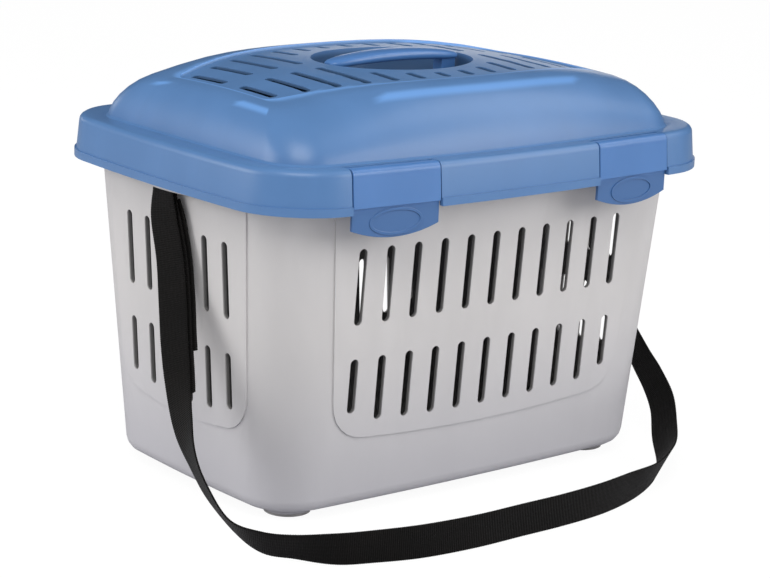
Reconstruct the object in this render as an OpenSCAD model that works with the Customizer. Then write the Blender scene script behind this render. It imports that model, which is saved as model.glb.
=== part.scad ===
// Small-animal carrier: a ventilated tub on four feet, a domed lid hinged at the back,
// two front latches, a grip that lifts out of a bowl, and a webbing shoulder strap.
// Millimetres. +X runs along the long side, -Y is the latch side, +Z is up.
// The origin is on the ground, under the middle of the carrier.

/* [Tub] */
// Length of the tub at its base, over the middle of its bowed ends
base_length = 372; // [340:1:400]
// Width of the tub at its base, over the middle of its bowed sides
base_width = 233; // [215:1:250]
// Height of the tub's rim above the ground
rim_height = 267; // [250:1:290]
// How far a short end leans out for each millimetre of height
end_lean = 0.062; // [0.03:0.001:0.08]
// How far a long side leans out for each millimetre of height
side_lean = 0.071; // [0.03:0.001:0.09]
// Radius of the tub's upright corners
tub_corner = 38; // [28:1:50]
// Outward bow of each short end
end_bow = 3.5; // [0:0.1:6]
// Outward bow of each long side
side_bow = 4.7; // [0:0.1:8]
// Thickness of the moulded walls
wall = 2.2; // [1.6:0.1:3]
// Radius of the rounded bottom edge
base_edge = 11; // [6:0.5:16]
// Width of the flat rim around the tub's mouth
rim_width = 8; // [6:0.5:9]
// Thickness of that rim
rim_thickness = 4; // [3:0.5:5]

/* [Wall panels] */
// How far a panel stands out from its wall
panel_raise = 1.2; // [0.6:0.1:1.6]
// Height of a side panel's lower edge above the ground
side_panel_foot = 57; // [45:1:70]
// Height of an end panel's lower edge above the ground
end_panel_foot = 60; // [45:1:70]
// How much a panel's lower edge rises from its middle to its corners
panel_sag = 4; // [0:0.5:6]
// Radius of a panel's lower corners
panel_corner = 30; // [20:1:40]
// Distance from the tub's end to a side panel's edge
side_panel_margin = 45; // [40:1:52]
// Distance from the tub's side to an end panel's edge
end_panel_margin = 33.5; // [28:0.5:40]
// How far a side panel's edge leans out for each millimetre of height
side_panel_flare = 0.076; // [0.04:0.001:0.09]
// How far an end panel's edge leans out for each millimetre of height
end_panel_flare = 0.047; // [0.02:0.001:0.08]

/* [Wall slots] */
// Width of a wall slot
slot_width = 7.2; // [5:0.1:9]
// Distance from slot to slot
slot_pitch = 25; // [20:0.5:30]
// Space between the rim's top and the upper row
upper_row_drop = 60.6; // [50:0.2:70]
// Length of a slot in the upper row
upper_slot = 57.6; // [45:0.2:65]
// Space between the two rows
row_space = 25.8; // [18:0.2:34]
// Space between a row and the panel's edge
slot_margin = 13; // [9:0.5:18]
// How far the slots of the right end lie further back than those of the left end
right_row_shift = 6.5; // [0:0.5:8]

/* [Feet] */
// Radius of a foot
foot_radius = 17.7; // [12:0.1:20]
// Height of the tub's floor above the ground
foot_height = 6; // [4:0.5:10]
// Thickness of the pad on each foot
pad_thickness = 2; // [1:0.1:3]
// Distance of a foot's centre in from the tub's sides and ends
foot_inset = 37; // [34:0.5:45]

/* [Lid] */
// How far the lid reaches past the tub's end at the rim
end_overhang = 17.5; // [17:0.1:20]
// How far the lid reaches past the tub's side at the rim
side_overhang = 28.6; // [27:0.1:32]
// Height of the skirt, from its foot to the lid's rim
skirt_height = 32; // [28:0.5:36]
// Thickness of the lid
lid_wall = 2.4; // [1.8:0.1:2.8]
// Outward bow of the lid's ends
lid_end_bow = 6.7; // [4:0.1:9]
// Outward bow of the lid's long sides
lid_side_bow = 12; // [8:0.5:14]
// Radius of the lid's corners
lid_corner = 51; // [44:1:60]
// Height of the plain strip along the skirt's lower edge
lip_height = 6; // [4:0.5:9]
// How far that strip stands out
lip_flare = 1.5; // [0.5:0.1:2]
// How far the skirt leans in above the strip
skirt_lean = 2; // [0:0.5:3]
// Radius of the rounded shoulder between skirt and ledge
shoulder = 5; // [3:0.5:7]
// Width of the ledge between the shoulder and the dome, at the ends
end_ledge = 17; // [14:0.5:19]
// Width of that ledge along the sides
side_ledge = 13; // [12:0.5:16]
// How far the ledge falls towards the dome
ledge_fall = 1.2; // [0.5:0.1:2]
// Radius of the dome's corners at its foot
dome_corner = 33; // [24:1:42]
// Outward bow of the dome's foot at the ends
dome_end_bow = 1.5; // [0:0.1:5]
// Outward bow of the dome's foot along the sides
dome_side_bow = 13; // [8:0.5:14]
// Width of the bend where the dome starts
dome_step = 2; // [1:0.1:4]
// Height of that bend
dome_kick = 1.3; // [0.8:0.1:3]
// Rise of the dome's crown above the lid's rim
dome_rise = 49.9; // [40:0.1:60]
// How hollow the dome's slope is in plan: 1 for a quarter ellipse, more for a flatter slope
slope_power_in = 1.1; // [1:0.01:2]
// The same for its height
slope_power_up = 1.4; // [1:0.01:2.2]

/* [Lid top] */
// Space between the dome's top and the lid's end
top_end_margin = 57; // [52:1:66]
// Space between the dome's top and the lid's side
top_side_margin = 67; // [62:1:76]
// Radius of the top's corners
top_corner = 12; // [6:1:24]
// Outward bow of the top's long edges
top_bow = 22; // [1:1:30]
// Space between the recess and the top's edge
recess_margin = 2; // [1:0.5:6]
// Outward bow of the recess's long edges
recess_bow = 36; // [20:1:40]
// Radius of the recess's corners
recess_corner = 8; // [5:0.5:12]
// Depth of the recess
recess_depth = 2; // [0.8:0.1:2.5]
// Width of the slope at the recess's edge
recess_slope = 1.2; // [0.6:0.1:2]
// Fall of the top from its middle to its ends
crown_fall_x = 14.5; // [6:0.1:18]
// How late that fall comes: 2 for an even curve, more for a flatter middle
crown_power = 3; // [2:0.1:4]
// Fall of the top from its middle to its sides
crown_fall_y = 3.8; // [2:0.1:8]
// Width of a slot in the lid
lid_slot_width = 7.2; // [4:0.1:9]
// Distance from slot to slot in the lid
lid_slot_pitch = 23; // [18:0.5:28]
// Space between the slots and the recess's edge
lid_slot_margin = 11.5; // [8:0.5:16]
// Half width of the bar between the two rows of slots
lid_slot_bar = 9.7; // [7:0.1:14]
// Space between the slots and the bowl, along the carrier
bowl_margin_x = 13; // [6:0.5:16]
// Space between the slots and the bowl, across the carrier
bowl_margin_y = 10; // [6:0.5:24]

/* [Grip] */
// Length of the oval bowl under the grip
bowl_length = 134; // [130:1:150]
// Width of the bowl
bowl_width = 114; // [80:1:120]
// Depth of the bowl below the recess's middle
bowl_depth = 29; // [25:0.5:34]
// How far the bowl's wall leans in towards its floor
bowl_lean = 6; // [4:0.5:12]
// Length of the grip
grip_length = 126; // [120:1:128]
// Width of the grip
grip_width = 22; // [18:0.5:28]
// Thickness of the grip
grip_height = 9.5; // [7:0.5:12]
// How much lower the grip's ends are than its middle
grip_arch = 4; // [1:0.5:6]
// How far the grip's top stands above the crown
grip_rise = 4.5; // [0:0.5:6]
// How far the grip lifts
grip_lift = 20; // [12:1:26]
// Distance between the grip's two posts
post_spacing = 106; // [80:1:106]
// Length of a leg, along the carrier
leg_length = 10; // [8:0.5:18]
// Width of a leg, across the carrier
leg_width = 7; // [5:0.5:10]
// How far a post is wider than its leg, on each side
post_step = 1.8; // [1:0.1:2.2]
// Thickness of the stop under a leg
stop_thickness = 4; // [2:0.5:6]

/* [Latches] */
// How far a latch reaches in from the lid's outline, over the ledge
latch_reach = 17; // [16:0.1:19]
// Distance from the lid's end to the middle of a latch
latch_margin = 104.5; // [100:0.5:115]
// Distance from the carrier's middle to the middle between the latches, to the right
latch_offset = -3; // [-6:0.5:6]
// Width of a latch
latch_width = 75; // [60:0.5:78]
// Height of a latch body's lower edge above the skirt's foot
latch_foot = 4; // [2:0.5:8]
// How far the finger tab hangs below the skirt's foot
tab_drop = 19; // [12:0.5:24]
// How much higher the tab's lower edge is at its ends
tab_arc = 7; // [2:0.5:10]
// How far the tab is set back from the latch body
tab_setback = 2; // [1:0.1:2.4]
// Length of the raised oval on a tab
tab_oval = 46; // [30:1:56]
// Height of the raised oval on a tab
tab_oval_height = 20; // [12:0.5:22]
// Width of the raised oval's band
oval_band = 2.2; // [1.2:0.1:3]
// How far the raised oval stands out
oval_raise = 0.8; // [0.4:0.1:1.2]
// Radius of the barrel along a latch's top
barrel_radius = 4; // [3.4:0.1:4.4]
// Radius of a latch's pivot stub
stub_radius = 2; // [1.4:0.1:2.4]
// Length of the ear that carries a stub
latch_ear = 6; // [4:0.5:8]
// Width of the catch behind a latch
catch_width = 24; // [12:1:34]
// Thickness of the catch
catch_height = 3.5; // [2:0.5:5]

/* [Back hinges] */
// Distance from the lid's end to the middle of a hinge
hinge_margin = 103; // [100:0.5:130]
// Height of the hinge axis above the skirt's foot
hinge_height = 4; // [3:0.5:6]
// Length of a hinge knuckle
knuckle_length = 20; // [12:0.5:30]
// Radius of a hinge knuckle
knuckle_radius = 3.2; // [2.8:0.1:3.8]
// Length of each ear beside the knuckle
hinge_ear = 6; // [4:0.5:8]
// Radius of the hinge pin
pin_radius = 1.6; // [1.2:0.1:2]
// Radius of the pin's heads
pin_head = 2.6; // [2.2:0.1:3]
// Thickness of the pin's heads
pin_head_thickness = 1.2; // [0.8:0.1:2]
// Depth of the gusset under a hinge ear
gusset_depth = 18; // [10:0.5:24]

/* [Strap bracket] */
// Half width of the bracket at each end
bracket_half = 57; // [40:1:62]
// Height of the bracket's top above the skirt's foot
bracket_top = 13.5; // [12:0.5:18]
// Thickness of the bracket's walls
bracket_wall = 1.8; // [1.4:0.1:2.2]
// How far the bracket's edge hangs below the skirt's foot
bracket_drop = 3.6; // [1:0.1:5]
// Radius of the strap's bar
bar_radius = 2.5; // [2:0.1:3]
// Height of the bar's axis above the skirt's foot
bar_height = 6; // [4:0.5:8]
// Thickness of the rib at each end of the bar
bar_rib = 3.5; // [2.5:0.5:5]

/* [Shoulder strap] */
// Width of the webbing
strap_width = 25; // [18:0.5:26]
// Thickness of the webbing
strap_thickness = 1.5; // [1:0.1:1.8]
// How far each folded layer at an end stands out past the one in front of it
tail_shift = 2; // [0:0.5:4]

/* [Clearances] */
// Space between the lid's ledge and the tub's rim
seat_gap = 0.3; // [0.2:0.1:0.6]
// Radial play of a pin or stub in its bore
running_play = 0.05; // [0.02:0.01:0.08]
// Space at each end of a knuckle or a latch
side_gap = 1; // [0.5:0.1:1.5]
// Space between a latch's catch and the rim's edge
catch_gap = 1.6; // [1.2:0.1:2.4]
// Space between a latch's barrel and the edge of its window
barrel_gap = 0.5; // [0.4:0.1:0.8]
// Space between a knuckle and the lid's skirt
knuckle_gap = 3; // [2.4:0.1:4]
// Space around a hinge ear in the skirt's notch
notch_gap = 1.2; // [0.8:0.1:2]
// Space between the strap bracket and the lid's skirt
bracket_gap = 0.6; // [0.5:0.1:0.8]
// Space around a leg in its guide
guide_gap = 0.4; // [0.3:0.05:0.8]
// Space beside the strap and around its bar
strap_gap = 0.1; // [0.05:0.05:0.3]
// Space between the strap and the folded layer behind it
layer_gap = 0.3; // [0.1:0.05:0.6]
// Space between the strap's edge and the ribs of its bar
strap_side_gap = 2; // [1:0.5:4]

/* [Hidden] */

shell_grey = [0.72, 0.72, 0.73];
pad_grey = [0.62, 0.62, 0.63];
lid_blue = [0.33, 0.48, 0.72];
latch_blue = [0.27, 0.43, 0.68];
pin_grey = [0.55, 0.55, 0.56];
strap_black = [0.08, 0.08, 0.08];

// Steps along a corner, a long side and a short side of every outline
corner_steps = 10;
long_steps = 14;
short_steps = 10;
// Steps of the bottom edge's rounding, of the dome and of the bowl's wall
edge_steps = 4;
dome_steps = 8;
bowl_steps = 4;
floor_steps = 3;
// Steps of half the grip, the turn where its end is cut flat, how bluntly it closes there,
// and how square its section is: 1 for an oval, less for a squarer one
grip_steps = 10;
grip_turn = 86;
end_power = 0.4;
section_power = 0.8;
// Steps of an arc drawn in a flat outline
arc_steps = 12;
bore_faces = 48;
slot_faces = 16;
// A cut reaches this far past what it cuts, and a rib this far into what carries it
past = 2;
bite = 1;

// The tub's half length and half width at height z
function tub_a(z) = base_length / 2 + end_lean * z;
function tub_b(z) = base_width / 2 + side_lean * z;
// Where the outside of a long side is at x, and of a short end at y
function tub_side_y(x, z) = tub_b(z) - side_bow * pow(x / (tub_a(z) - end_bow), 2);
function tub_end_x(y, z) = tub_a(z) - end_bow * pow(y / (tub_b(z) - side_bow), 2);

lid_a = tub_a(rim_height) + end_overhang;
lid_b = tub_b(rim_height) + side_overhang;
lid_seat = rim_height + seat_gap;
crease_z = lid_seat + lid_wall;
lid_rim = crease_z + ledge_fall;
skirt_foot = lid_rim - skirt_height;
crown_z = lid_rim + dome_rise;
function lid_side_y(x) = lid_b - lid_side_bow * pow(x / (lid_a - lid_end_bow), 2);
function lid_end_x(y) = lid_a - lid_end_bow * pow(y / (lid_b - lid_side_bow), 2);

// Distances in from the lid's outline
skirt_top_inset = lip_flare + skirt_lean;
ledge_inset = skirt_top_inset + shoulder;
inner_foot_inset = lip_flare + lid_wall;
inner_top_inset = skirt_top_inset + lid_wall;
function ledge_z(inset) = lid_rim - ledge_fall * (inset - ledge_inset) / side_ledge;

top_a = lid_a - top_end_margin;
top_b = lid_b - top_side_margin;
recess_a = top_a - recess_margin;
recess_b = top_b - recess_margin;
function top_z(p) = crown_z - crown_fall_x * pow(abs(p.x) / top_a, crown_power)
    - crown_fall_y * pow(p.y / top_b, 2);
bowl_a = bowl_length / 2;
bowl_b = bowl_width / 2;
bowl_floor = crown_z - recess_depth - bowl_depth;
bowl_under = bowl_floor - lid_wall;

function latch_x(side) = side * (lid_a - latch_margin) + latch_offset;
function latch_line(side) = lid_side_y(latch_x(side));
function latch_turn(side) =
    atan(2 * lid_side_bow * latch_x(side) / pow(lid_a - lid_end_bow, 2));
function rim_edge_inset(side) =
    latch_line(side) - tub_side_y(latch_x(side), rim_height) - rim_width;
pivot_inset = latch_reach - barrel_gap - barrel_radius;
pivot_z = ledge_z(pivot_inset) - barrel_radius;
latch_body_foot = skirt_foot + latch_foot;
tab_foot = skirt_foot - tab_drop;
window_half = latch_width / 2 + side_gap;

hinge_x = lid_a - hinge_margin;
hinge_line = lid_side_y(hinge_x);
hinge_y = hinge_line - inner_foot_inset - knuckle_gap - knuckle_radius;
hinge_z = skirt_foot + hinge_height;
hinge_ear_middle = knuckle_length / 2 + side_gap + hinge_ear / 2;
pin_half = knuckle_length / 2 + side_gap + hinge_ear + strap_gap;

bracket_reach = lid_a - inner_top_inset - bracket_gap;
bar_z = skirt_foot + bar_height;
bar_x = (tub_a(bar_z) + panel_raise + bracket_reach - bracket_wall) / 2;
rib_y = strap_width / 2 + strap_side_gap;
bar_half = rib_y + bar_rib;
strap_x = bar_x + bar_radius + strap_gap + strap_thickness / 2;
// Steps between two rows of the strap's route, and places along it: where the folded end
// leaves the bracket, then where its short and long layers stop
strap_steps = 2;
tail_first = 2;
short_tail = 11;
long_tail = 13;
tail_arc = 12;
stitch_bite = 0.3;

grip_middle = crown_z + grip_rise - grip_height / 2;
leg_foot = bowl_under - grip_lift - seat_gap;
foot_x = base_length / 2 - foot_inset;
foot_y = base_width / 2 - foot_inset;

// ---- Outlines and lofts ----

function corner_arc(cx, cy, r, start) = [
    for (s = [0:corner_steps])
        let (t = start + 90 * s / corner_steps)
            [cx + r * cos(t), cy + r * sin(t)]
];
function between(p, q, steps) = [for (s = [1:steps - 1]) p + (q - p) * s / steps];
function rounded(a, b, r) = concat(
    corner_arc(a - r, b - r, r, 0), between([a - r, b], [r - a, b], long_steps),
    corner_arc(r - a, b - r, r, 90), between([-a, b - r], [-a, r - b], short_steps),
    corner_arc(r - a, r - b, r, 180), between([r - a, -b], [a - r, -b], long_steps),
    corner_arc(a - r, r - b, r, 270), between([a, r - b], [a, b - r], short_steps)
);
// A rounded rectangle whose sides bow out; a and b are its half sizes at the bows' middles
function outline(a, b, r, bow_a, bow_b) =
    let (ia = a - bow_a, ib = b - bow_b)
        [for (p = rounded(ia, ib, r)) [
            p.x * (1 + bow_a / ia * (1 - pow(p.y / ib, 2))),
            p.y * (1 + bow_b / ib * (1 - pow(p.x / ia, 2)))
        ]];
function at_height(points, z) = [for (p = points) [p.x, p.y, z]];
function blend(p, q, s) = [for (j = [0:len(p) - 1]) p[j] + (q[j] - p[j]) * s];

// One closed solid through rings of points, counter-clockwise as seen from the last ring
module loft(rings) {
    n = len(rings[0]);
    m = len(rings);
    polyhedron(
        points = [for (ring = rings) each ring],
        faces = concat(
            [[for (j = [0:n - 1]) j]],
            [for (i = [0:m - 2], j = [0:n - 1])
                let (k = (j + 1) % n)
                    each [[i * n + j, (i + 1) * n + k, i * n + k],
                          [i * n + j, (i + 1) * n + j, (i + 1) * n + k]]],
            [[for (j = [n - 1:-1:0]) (m - 1) * n + j]]
        )
    );
}

// A flat outline in Y and Z, drawn out along X by length, centred on x = 0
module along_x(length) {
    translate([-length / 2, 0, 0])
        rotate([90, 0, 90])
            linear_extrude(length)
                children();
}

// A flat outline in X and Z, drawn out along Y by length, centred on y = 0
module along_y(length) {
    translate([0, length / 2, 0])
        rotate([90, 0, 0])
            linear_extrude(length)
                children();
}

// A slot with round ends from low to high, standing along Z and cut through along Y
module upright_slot(width, low, high, length) {
    r = width / 2;
    translate([-r, -length / 2, low + r])
        cube([width, length, high - low - width]);
    for (z = [low + r, high - r])
        translate([0, 0, z])
            rotate([90, 0, 0])
                cylinder(r = r, h = length, center = true, $fn = slot_faces);
}

// ---- Tub ----

function tub_ring(z, out) =
    at_height(outline(tub_a(z) + out, tub_b(z) + out, tub_corner + out, end_bow, side_bow), z);
// Rings of the rounded bottom edge, lowest first, for a skin that lies inward by inset
function edge_rings(inset, radius) = [
    for (s = [0:edge_steps])
        let (t = 90 * s / edge_steps)
            tub_ring(foot_height + inset + radius * (1 - cos(t)), -inset - radius * (1 - sin(t)))
];
function reversed(list) = [for (i = [len(list) - 1:-1:0]) list[i]];

rim_under = rim_height - rim_thickness;

module tub_shell() {
    loft(concat(
        edge_rings(0, base_edge),
        [
            tub_ring(rim_under, 0),
            tub_ring(rim_under, rim_width),
            tub_ring(rim_height, rim_width),
            tub_ring(rim_height, -wall)
        ],
        reversed(edge_rings(wall, base_edge - wall))
    ));
}

// A panel's lower edge: a shallow bow between two round corners
function panel_edge(half, foot, x) = foot + panel_sag * pow(x / (half - panel_corner), 2);
function panel_points(half, foot, flare) =
    let (run = half - panel_corner, centre = foot + panel_sag + panel_corner,
         top = half + flare * (rim_under - centre))
        concat(
            [for (s = [-arc_steps / 2:arc_steps / 2])
                let (x = run * 2 * s / arc_steps) [x, panel_edge(half, foot, x)]],
            [for (s = [1:arc_steps / 2])
                let (t = 90 * (2 * s / arc_steps - 1))
                    [run + panel_corner * cos(t), centre + panel_corner * sin(t)]],
            [[top, rim_under], [-top, rim_under]],
            [for (s = [arc_steps / 2:-1:1])
                let (t = 90 * (2 * s / arc_steps - 1))
                    [-run - panel_corner * cos(t), centre + panel_corner * sin(t)]]
        );

side_panel_half = base_length / 2 - side_panel_margin;
end_panel_half = base_width / 2 - end_panel_margin;

// The tub's outside moved out by the panels' raise, kept only where a panel is
module panels() {
    difference() {
        intersection() {
            loft([tub_ring(foot_height + base_edge, panel_raise), tub_ring(rim_under, panel_raise)]);
            union() {
                along_y(2 * lid_b)
                    polygon(panel_points(side_panel_half, side_panel_foot, side_panel_flare));
                rotate([0, 0, 90])
                    along_y(2 * lid_a)
                        polygon(panel_points(end_panel_half, end_panel_foot, end_panel_flare));
            }
        }
        loft([tub_ring(foot_height, -wall / 2), tub_ring(rim_height, -wall / 2)]);
    }
}

upper_row_top = rim_height - upper_row_drop;
upper_row_foot = upper_row_top - upper_slot;
lower_row_top = upper_row_foot - row_space;

// The lower row's foot lies one margin inside the panel's lower edge
function row_foot(half, foot, x) =
    let (run = half - panel_corner, r = panel_corner - slot_margin, d = abs(x) - run)
        d <= 0
            ? panel_edge(half, foot, x) + slot_margin
            : foot + panel_sag + panel_corner - sqrt(max(0, r * r - d * d));

// Both rows of slots, cut through along Y over the length. The first slot lies at first, and
// the next ones a pitch apart on both sides, all moved along X by shift
module slot_rows(half, foot, first, length, shift = 0) {
    for (x = [first:slot_pitch:half - slot_margin])
        for (side = x > 0 ? [-1, 1] : [1]) {
            place = side * x + shift;
            translate([place, 0, 0]) {
                upright_slot(slot_width, upper_row_foot, upper_row_top, length);
                upright_slot(slot_width, row_foot(half, foot, place), lower_row_top, length);
            }
        }
}

module foot_boss(x, y) {
    translate([x, y, pad_thickness])
        cylinder(r = foot_radius, h = foot_height + wall / 2 - pad_thickness, $fn = bore_faces);
}

// The two ears of one back hinge, each on its gusset
module hinge_ears() {
    for (s = [-1, 1])
        translate([s * hinge_ear_middle, 0, 0]) {
            translate([0, hinge_y, hinge_z])
                rotate([0, 90, 0])
                    cylinder(r = knuckle_radius, h = hinge_ear, center = true, $fn = bore_faces);
            along_x(hinge_ear)
                polygon([
                    [tub_side_y(hinge_x, hinge_z) - bite, hinge_z + knuckle_radius],
                    [tub_side_y(hinge_x, hinge_z) - bite, hinge_z - gusset_depth],
                    [hinge_y, hinge_z - knuckle_radius],
                    [hinge_y, hinge_z + knuckle_radius]
                ]);
        }
}

// The strap bracket's plan at the +X end, between the wall and inset from its outer edge
module bracket_plan(inset) {
    ys = [for (s = [-arc_steps:arc_steps]) bracket_half * s / arc_steps];
    polygon(concat(
        [for (y = ys) [tub_end_x(y, bar_z) - bite, y]],
        [for (y = reversed(ys)) [bracket_reach - inset - (lid_a - lid_end_x(y)), y]]
    ));
}

module strap_bracket() {
    top = skirt_foot + bracket_top;
    low = skirt_foot - bracket_drop;
    difference() {
        translate([0, 0, low])
            linear_extrude(top - low)
                bracket_plan(0);
        translate([0, 0, low - past])
            linear_extrude(top - low - bracket_wall + past)
                intersection() {
                    bracket_plan(bracket_wall);
                    square([2 * lid_a, 2 * (bracket_half - bracket_wall)], center = true);
                }
        along_x(2 * lid_a + past)
            polygon(concat(
                [for (s = [-arc_steps:arc_steps])
                    let (y = (bracket_half + past) * s / arc_steps)
                        [y, low + bracket_drop * pow(y / bracket_half, 2)]],
                [[bracket_half + past, low - past], [-bracket_half - past, low - past]]
            ));
    }
    for (s = [-1, 1])
        intersection() {
            translate([0, 0, skirt_foot])
                linear_extrude(bracket_top)
                    bracket_plan(bracket_wall / 2);
            translate([0, s * (rib_y + bar_rib / 2), bar_z])
                cube([2 * lid_a, bar_rib, 2 * bracket_top], center = true);
        }
}

module bar_bores() {
    translate([bar_x, 0, bar_z])
        rotate([90, 0, 0])
            cylinder(r = bar_radius + running_play, h = 2 * bar_half + past, center = true,
                     $fn = bore_faces);
}

module hinge_bores(radius) {
    for (side = [-1, 1])
        translate([side * hinge_x, hinge_y, hinge_z])
            rotate([0, 90, 0])
                cylinder(r = radius, h = 2 * pin_half, center = true, $fn = bore_faces);
}

module tub() {
    color(shell_grey)
        difference() {
            union() {
                difference() {
                    union() {
                        tub_shell();
                        panels();
                    }
                    slot_rows(side_panel_half, side_panel_foot, 0, 2 * lid_b);
                    for (side = [-1, 1])
                        translate([side * lid_a, 0, 0])
                            rotate([0, 0, 90])
                                slot_rows(end_panel_half, end_panel_foot, slot_pitch / 2, lid_a,
                                          side > 0 ? right_row_shift : 0);
                }
                for (x = [-foot_x, foot_x], y = [-foot_y, foot_y])
                    foot_boss(x, y);
                for (side = [-1, 1]) {
                    translate([side * hinge_x, 0, 0])
                        hinge_ears();
                    rotate([0, 0, side < 0 ? 180 : 0])
                        strap_bracket();
                }
            }
            hinge_bores(pin_radius + running_play);
            for (turn = [0, 180])
                rotate([0, 0, turn])
                    bar_bores();
        }
}

module foot_pad(x, y) {
    color(pad_grey)
        translate([x, y, 0])
            cylinder(r = foot_radius, h = pad_thickness, $fn = bore_faces);
}

// ---- Lid ----

function lid_ring(inset, z) =
    at_height(outline(lid_a - inset, lid_b - inset, lid_corner - inset, lid_end_bow, lid_side_bow), z);
// The foot of the dome, drawn out by grow
function dome_ring(grow, z) = at_height(
    outline(lid_a - ledge_inset - end_ledge + grow, lid_b - ledge_inset - side_ledge + grow,
            dome_corner + grow, dome_end_bow, dome_side_bow), z);
function top_outline() = outline(top_a, top_b, top_corner, 0, top_bow);
function recess_outline(inset) =
    outline(recess_a - inset, recess_b - inset, recess_corner - inset, 0, recess_bow);
function on_top(points, drop) = [for (p = points) [p.x, p.y, top_z(p) - drop]];
// The bowl's oval, with each point in line with the recess's point of the same number
function oval(grow) = [
    for (p = recess_outline(0))
        let (t = atan2(p.y / recess_b, p.x / recess_a))
            [(bowl_a + grow) * cos(t), (bowl_b + grow) * sin(t)]
];
// From the dome's foot to its top, up a curve between a quarter ellipse and a straight slope
function dome_rings(foot, edge) = [
    for (s = [0:dome_steps])
        let (t = 90 * s / dome_steps, out = pow(cos(t), slope_power_in),
             up = pow(sin(t), slope_power_up))
            [for (j = [0:len(foot) - 1]) [
                edge[j].x + (foot[j].x - edge[j].x) * out,
                edge[j].y + (foot[j].y - edge[j].y) * out,
                foot[j].z + (edge[j].z - foot[j].z) * up
            ]]
];
// From inside the recess's edge to the bowl's rim, on the falling crown
function floor_rings(grow, drop) = [
    for (s = [0:floor_steps])
        on_top(blend(recess_outline(recess_slope), oval(grow), s / floor_steps), recess_depth + drop)
];
// From below the bowl's rim to its floor
function bowl_rings(grow, drop) = [
    for (s = [1:bowl_steps])
        let (t = 90 * s / bowl_steps, rim = on_top(oval(grow), recess_depth + drop),
             foot = oval(grow - bowl_lean * (1 - cos(t))))
            [for (j = [0:len(rim) - 1])
                [foot[j].x, foot[j].y, rim[j].z + (bowl_floor - drop - rim[j].z) * sin(t)]]
];
function shoulder_rings() = [
    for (s = [1:bowl_steps])
        let (t = 90 * s / bowl_steps)
            lid_ring(ledge_inset - shoulder * cos(t), lid_rim - shoulder * (1 - sin(t)))
];

module lid_shell() {
    loft(concat(
        reversed(concat(
            [
                lid_ring(inner_foot_inset, skirt_foot),
                lid_ring(inner_top_inset, lid_rim - shoulder - lid_wall),
                lid_ring(ledge_inset, lid_seat),
                dome_ring(-lid_wall / 2, lid_seat)
            ],
            dome_rings(dome_ring(-dome_step - lid_wall, crease_z + dome_kick - lid_wall / 2),
                       on_top(top_outline(), lid_wall)),
            [on_top(recess_outline(0), lid_wall)],
            floor_rings(lid_wall, lid_wall),
            bowl_rings(lid_wall, lid_wall)
        )),
        [
            lid_ring(0, skirt_foot),
            lid_ring(0, skirt_foot + lip_height),
            lid_ring(lip_flare, skirt_foot + lip_height),
            lid_ring(skirt_top_inset, lid_rim - shoulder)
        ],
        shoulder_rings(),
        [dome_ring(0, crease_z)],
        dome_rings(dome_ring(-dome_step, crease_z + dome_kick), on_top(top_outline(), 0)),
        [on_top(recess_outline(0), 0)],
        floor_rings(0, 0),
        bowl_rings(0, 0)
    ));
}

// Where a lid slot's inner and outer end lie at x
function slot_inner(x) =
    max(lid_slot_bar,
        (bowl_b + bowl_margin_y) * sqrt(max(0, 1 - pow(x / (bowl_a + bowl_margin_x), 2))));
function slot_outer(x) = recess_b - recess_bow * pow(x / recess_a, 2) - lid_slot_margin;

// Slots cut straight down, in two rows with the bowl between them
module lid_slots() {
    height = dome_rise;
    r = lid_slot_width / 2;
    for (x = [lid_slot_pitch / 2:lid_slot_pitch:recess_a - lid_slot_margin])
        for (sx = [-1, 1], sy = [-1, 1])
            translate([sx * x, 0, lid_rim + past]) {
                low = slot_inner(x) + r;
                high = slot_outer(x) - r;
                translate([-r, sy > 0 ? low : -high, 0])
                    cube([lid_slot_width, high - low, height]);
                for (y = [low, high])
                    translate([0, sy * y, 0])
                        cylinder(r = r, h = height, $fn = slot_faces);
            }
}

// The middle of a latch on the lid's front: x along the edge, y inward, z still up
module at_latch(side) {
    translate([latch_x(side), -latch_line(side), 0])
        rotate([0, 0, latch_turn(side)])
            children();
}

module latch_window() {
    translate([-window_half, -past - lip_flare, skirt_foot - past])
        cube([2 * window_half, past + lip_flare + latch_reach, skirt_height + 2 * past]);
}

module latch_ears() {
    for (s = [-1, 1])
        translate([s * (window_half + latch_ear / 2), pivot_inset, pivot_z]) {
            rotate([0, 90, 0])
                cylinder(r = barrel_radius - barrel_gap / 2, h = latch_ear, center = true,
                         $fn = bore_faces);
            translate([-latch_ear / 2, -barrel_radius, 0])
                cube([latch_ear, 2 * barrel_radius, lid_seat + bite - pivot_z]);
        }
}

module latch_bores() {
    translate([0, pivot_inset, pivot_z])
        rotate([0, 90, 0])
            cylinder(r = stub_radius + running_play, h = 2 * (window_half + latch_ear + past),
                     center = true, $fn = bore_faces);
}

module hinge_knuckle() {
    translate([0, hinge_y, hinge_z])
        rotate([0, 90, 0])
            cylinder(r = knuckle_radius, h = knuckle_length, center = true, $fn = bore_faces);
    translate([-knuckle_length / 2, hinge_y, hinge_z - knuckle_radius])
        cube([knuckle_length, hinge_line - inner_foot_inset + bite - hinge_y, 2 * knuckle_radius]);
}

// Cuts in the back skirt that let the tub's hinge ears through as the lid swings
module hinge_notches() {
    width = hinge_ear + 2 * notch_gap;
    for (s = [-1, 1])
        translate([s * hinge_ear_middle - width / 2, hinge_line - inner_top_inset - past,
                   skirt_foot - past])
            cube([width, inner_top_inset + 2 * past, past + hinge_height + 2 * knuckle_radius]);
}

module leg_guides() {
    for (s = [-1, 1])
        translate([s * post_spacing / 2, 0, bowl_under])
            cube([leg_length + 2 * guide_gap, leg_width + 2 * guide_gap, 4 * lid_wall], center = true);
}

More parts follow.
